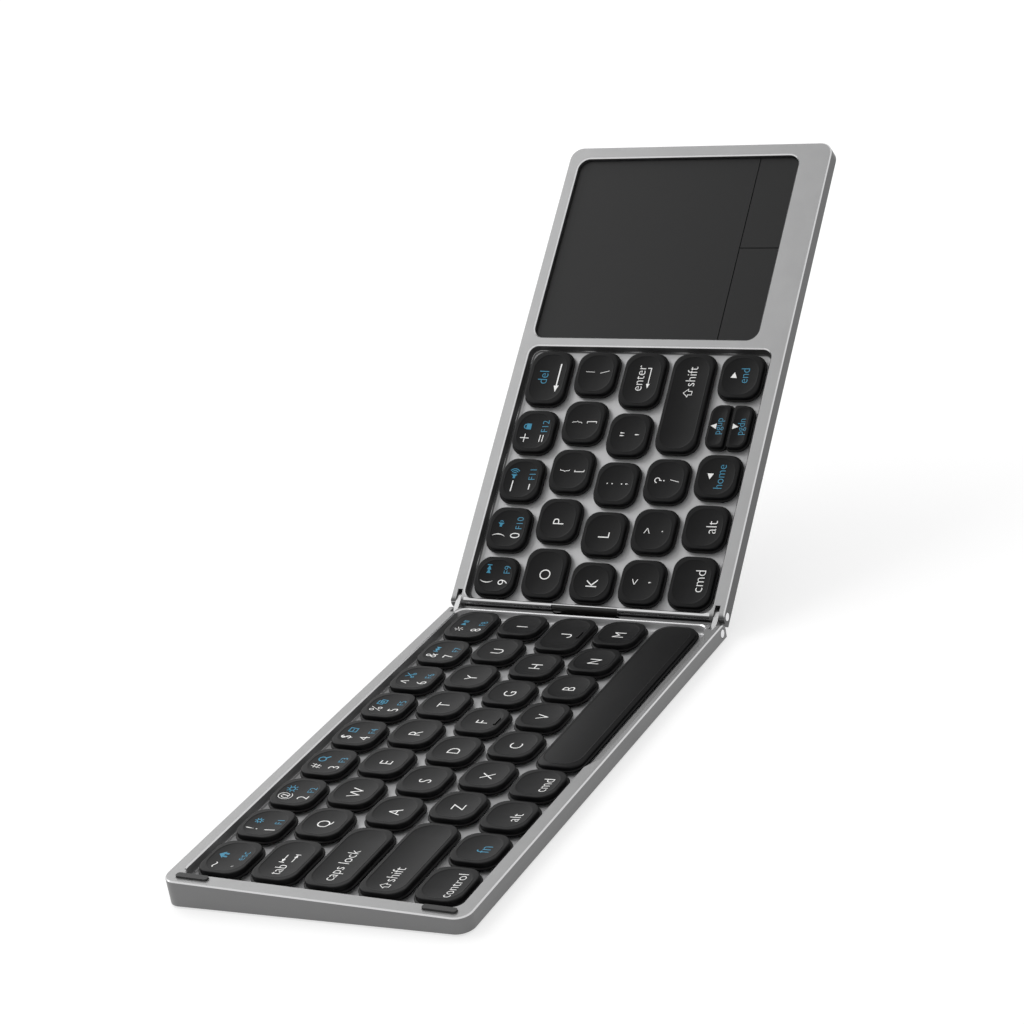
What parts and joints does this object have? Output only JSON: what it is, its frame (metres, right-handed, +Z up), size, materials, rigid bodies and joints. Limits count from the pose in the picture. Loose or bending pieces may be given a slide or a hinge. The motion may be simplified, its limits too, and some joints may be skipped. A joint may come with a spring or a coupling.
{
  "type": "folding keyboard",
  "caption": "Folding keyboard of two thin wedge-shaped halves joined by a two-pin link hinge, with low keys in both halves and a touchpad in the right half.",
  "frame": {"origin": "centre of the bounding box, on the plane of the left half's rubber feet", "axes": "+X along the keyboard from the escape key's end to the hinge and the touchpad, +Y from the space bar to the number row, +Z up. The left half lies on its feet and the right half is raised 40 degrees"},
  "size_m": [0.3054, 0.0998, 0.119],
  "materials": {
    "case": "satin",
    "hinge_link": "satin",
    "bottom_cover": "matte",
    "membrane": "satin",
    "steel_plate": "satin",
    "dome_rubber": "matte",
    "lever_plastic": "matte",
    "battery_foil": "satin",
    "circuit_board": "satin",
    "port_steel": "satin",
    "black_rubber": "matte",
    "screw_steel": "satin",
    "magnet": "polished",
    "pin_chrome": "polished",
    "flex_film": "satin",
    "touchpad": "matte",
    "click_steel": "satin",
    "key_plastic": "satin"
  },
  "bodies": {
    "left_half": {"left_top_case": "case", "left_bottom_cover": "bottom_cover", "left_key_membrane": "membrane", "left_support_plate": "steel_plate", "left_rubber_domes": "dome_rubber", "left_scissor_levers": "lever_plastic", "battery": "battery_foil", "main_board": "circuit_board", "usb_c_port": "port_steel", "left_bumpers": "black_rubber", "left_feet": "black_rubber", "left_screws": "screw_steel", "left_magnets": "magnet", "left_hinge_pins": "pin_chrome", "hinge_flex_cable": "flex_film"},
    "hinge_links": {"front_hinge_link": "hinge_link", "back_hinge_link": "hinge_link"},
    "right_half": {"right_top_case": "case", "right_bottom_cover": "bottom_cover", "right_key_membrane": "membrane", "right_support_plate": "steel_plate", "right_rubber_domes": "dome_rubber", "right_scissor_levers": "lever_plastic", "touchpad_surface": "touchpad", "touchpad_board": "circuit_board", "click_domes": "click_steel", "right_feet": "black_rubber", "right_screws": "screw_steel", "right_magnets": "magnet", "right_hinge_pins": "pin_chrome", "cable_guide": "flex_film"},
    "left_click_button": {"left_click_button": "touchpad"},
    "right_click_button": {"right_click_button": "touchpad"},
    "key_esc": {"key_esc": "key_plastic"},
    "keys_1_to_8": {"keys_1_to_8": "key_plastic"},
    "key_tab": {"key_tab": "key_plastic"},
    "keys_q_to_i": {"keys_q_to_i": "key_plastic"},
    "key_caps_lock": {"key_caps_lock": "key_plastic"},
    "keys_a_to_j": {"keys_a_to_j": "key_plastic"},
    "key_left_shift": {"key_left_shift": "key_plastic"},
    "keys_z_to_m": {"keys_z_to_m": "key_plastic"},
    "key_control": {"key_control": "key_plastic"},
    "key_fn": {"key_fn": "key_plastic"},
    "key_left_alt": {"key_left_alt": "key_plastic"},
    "key_left_cmd": {"key_left_cmd": "key_plastic"},
    "key_space": {"key_space": "key_plastic"},
    "keys_9_to_equals": {"keys_9_to_equals": "key_plastic"},
    "key_backspace": {"key_backspace": "key_plastic"},
    "keys_o_to_backslash": {"keys_o_to_backslash": "key_plastic"},
    "keys_k_to_quote": {"keys_k_to_quote": "key_plastic"},
    "key_enter": {"key_enter": "key_plastic"},
    "keys_comma_to_slash": {"keys_comma_to_slash": "key_plastic"},
    "key_right_shift": {"key_right_shift": "key_plastic"},
    "key_right_cmd": {"key_right_cmd": "key_plastic"},
    "key_right_alt": {"key_right_alt": "key_plastic"},
    "key_arrow_left": {"key_arrow_left": "key_plastic"},
    "key_arrow_up": {"key_arrow_up": "key_plastic"},
    "key_arrow_down": {"key_arrow_down": "key_plastic"},
    "key_arrow_right": {"key_arrow_right": "key_plastic"}
  },
  "joints": [
    {"name": "left_pin_fold", "type": "hinge", "parent": "left_half", "child": "hinge_links", "pos_m": [0.01544, 0.00175, 0.0045], "axis": [0, -0.9994, -0.0333], "range_deg": [-34, 56], "deforming": ["hinge_flex_cable"]},
    {"name": "right_pin_fold", "type": "hinge", "parent": "hinge_links", "child": "right_half", "pos_m": [0.02033, 0.00164, 0.00779], "axis": [0, -0.9994, -0.0333], "range_deg": [-6, 84], "deforming": ["hinge_flex_cable"]},
    {"name": "key_esc_press", "type": "slide", "parent": "left_half", "child": "key_esc", "axis": [0, 0.0333, -0.9994], "range_m": [0, 0.001], "stiffness_N_per_m": 500, "deforming": ["left_rubber_domes", "left_scissor_levers"]},
    {"name": "keys_1_to_8_press", "type": "slide", "parent": "left_half", "child": "keys_1_to_8", "axis": [0, 0.0333, -0.9994], "range_m": [0, 0.001], "stiffness_N_per_m": 4000, "deforming": ["left_rubber_domes", "left_scissor_levers"]},
    {"name": "key_tab_press", "type": "slide", "parent": "left_half", "child": "key_tab", "axis": [0, 0.0333, -0.9994], "range_m": [0, 0.001], "stiffness_N_per_m": 500, "deforming": ["left_rubber_domes", "left_scissor_levers"]},
    {"name": "keys_q_to_i_press", "type": "slide", "parent": "left_half", "child": "keys_q_to_i", "axis": [0, 0.0333, -0.9994], "range_m": [0, 0.001], "stiffness_N_per_m": 4000, "deforming": ["left_rubber_domes", "left_scissor_levers"]},
    {"name": "key_caps_lock_press", "type": "slide", "parent": "left_half", "child": "key_caps_lock", "axis": [0, 0.0333, -0.9994], "range_m": [0, 0.001], "stiffness_N_per_m": 500, "deforming": ["left_rubber_domes", "left_scissor_levers"]},
    {"name": "keys_a_to_j_press", "type": "slide", "parent": "left_half", "child": "keys_a_to_j", "axis": [0, 0.0333, -0.9994], "range_m": [0, 0.001], "stiffness_N_per_m": 3500, "deforming": ["left_rubber_domes", "left_scissor_levers"]},
    {"name": "key_left_shift_press", "type": "slide", "parent": "left_half", "child": "key_left_shift", "axis": [0, 0.0333, -0.9994], "range_m": [0, 0.001], "stiffness_N_per_m": 500, "deforming": ["left_rubber_domes", "left_scissor_levers"]},
    {"name": "keys_z_to_m_press", "type": "slide", "parent": "left_half", "child": "keys_z_to_m", "axis": [0, 0.0333, -0.9994], "range_m": [0, 0.001], "stiffness_N_per_m": 3500, "deforming": ["left_rubber_domes", "left_scissor_levers"]},
    {"name": "key_control_press", "type": "slide", "parent": "left_half", "child": "key_control", "axis": [0, 0.0333, -0.9994], "range_m": [0, 0.001], "stiffness_N_per_m": 500, "deforming": ["left_rubber_domes", "left_scissor_levers"]},
    {"name": "key_fn_press", "type": "slide", "parent": "left_half", "child": "key_fn", "axis": [0, 0.0333, -0.9994], "range_m": [0, 0.001], "stiffness_N_per_m": 500, "deforming": ["left_rubber_domes", "left_scissor_levers"]},
    {"name": "key_left_alt_press", "type": "slide", "parent": "left_half", "child": "key_left_alt", "axis": [0, 0.0333, -0.9994], "range_m": [0, 0.001], "stiffness_N_per_m": 500, "deforming": ["left_rubber_domes", "left_scissor_levers"]},
    {"name": "key_left_cmd_press", "type": "slide", "parent": "left_half", "child": "key_left_cmd", "axis": [0, 0.0333, -0.9994], "range_m": [0, 0.001], "stiffness_N_per_m": 500, "deforming": ["left_rubber_domes", "left_scissor_levers"]},
    {"name": "key_space_press", "type": "slide", "parent": "left_half", "child": "key_space", "axis": [0, 0.0333, -0.9994], "range_m": [0, 0.001], "stiffness_N_per_m": 500, "deforming": ["left_rubber_domes", "left_scissor_levers"]},
    {"name": "keys_9_to_equals_press", "type": "slide", "parent": "right_half", "child": "keys_9_to_equals", "axis": [0.6428, 0.0255, -0.7656], "range_m": [0, 0.001], "stiffness_N_per_m": 2000, "deforming": ["right_rubber_domes", "right_scissor_levers"]},
    {"name": "key_backspace_press", "type": "slide", "parent": "right_half", "child": "key_backspace", "axis": [0.6428, 0.0255, -0.7656], "range_m": [0, 0.001], "stiffness_N_per_m": 500, "deforming": ["right_rubber_domes", "right_scissor_levers"]},
    {"name": "keys_o_to_backslash_press", "type": "slide", "parent": "right_half", "child": "keys_o_to_backslash", "axis": [0.6428, 0.0255, -0.7656], "range_m": [0, 0.001], "stiffness_N_per_m": 2500, "deforming": ["right_rubber_domes", "right_scissor_levers"]},
    {"name": "keys_k_to_quote_press", "type": "slide", "parent": "right_half", "child": "keys_k_to_quote", "axis": [0.6428, 0.0255, -0.7656], "range_m": [0, 0.001], "stiffness_N_per_m": 2000, "deforming": ["right_rubber_domes", "right_scissor_levers"]},
    {"name": "key_enter_press", "type": "slide", "parent": "right_half", "child": "key_enter", "axis": [0.6428, 0.0255, -0.7656], "range_m": [0, 0.001], "stiffness_N_per_m": 500, "deforming": ["right_rubber_domes", "right_scissor_levers"]},
    {"name": "keys_comma_to_slash_press", "type": "slide", "parent": "right_half", "child": "keys_comma_to_slash", "axis": [0.6428, 0.0255, -0.7656], "range_m": [0, 0.001], "stiffness_N_per_m": 1500, "deforming": ["right_rubber_domes", "right_scissor_levers"]},
    {"name": "key_right_shift_press", "type": "slide", "parent": "right_half", "child": "key_right_shift", "axis": [0.6428, 0.0255, -0.7656], "range_m": [0, 0.001], "stiffness_N_per_m": 500, "deforming": ["right_rubber_domes", "right_scissor_levers"]},
    {"name": "key_right_cmd_press", "type": "slide", "parent": "right_half", "child": "key_right_cmd", "axis": [0.6428, 0.0255, -0.7656], "range_m": [0, 0.001], "stiffness_N_per_m": 500, "deforming": ["right_rubber_domes", "right_scissor_levers"]},
    {"name": "key_right_alt_press", "type": "slide", "parent": "right_half", "child": "key_right_alt", "axis": [0.6428, 0.0255, -0.7656], "range_m": [0, 0.001], "stiffness_N_per_m": 500, "deforming": ["right_rubber_domes", "right_scissor_levers"]},
    {"name": "key_arrow_left_press", "type": "slide", "parent": "right_half", "child": "key_arrow_left", "axis": [0.6428, 0.0255, -0.7656], "range_m": [0, 0.001], "stiffness_N_per_m": 500, "deforming": ["right_rubber_domes", "right_scissor_levers"]},
    {"name": "key_arrow_up_press", "type": "slide", "parent": "right_half", "child": "key_arrow_up", "axis": [0.6428, 0.0255, -0.7656], "range_m": [0, 0.001], "stiffness_N_per_m": 500, "deforming": ["right_rubber_domes", "right_scissor_levers"]},
    {"name": "key_arrow_down_press", "type": "slide", "parent": "right_half", "child": "key_arrow_down", "axis": [0.6428, 0.0255, -0.7656], "range_m": [0, 0.001], "stiffness_N_per_m": 500, "deforming": ["right_rubber_domes", "right_scissor_levers"]},
    {"name": "key_arrow_right_press", "type": "slide", "parent": "right_half", "child": "key_arrow_right", "axis": [0.6428, 0.0255, -0.7656], "range_m": [0, 0.001], "stiffness_N_per_m": 500, "deforming": ["right_rubber_domes", "right_scissor_levers"]},
    {"name": "left_click_button_press", "type": "slide", "parent": "right_half", "child": "left_click_button", "axis": [0.6428, 0.0255, -0.7656], "range_m": [0, 0.00025], "stiffness_N_per_m": 3000, "deforming": ["click_domes"]},
    {"name": "right_click_button_press", "type": "slide", "parent": "right_half", "child": "right_click_button", "axis": [0.6428, 0.0255, -0.7656], "range_m": [0, 0.00025], "stiffness_N_per_m": 3000, "deforming": ["click_domes"]}
  ]
}
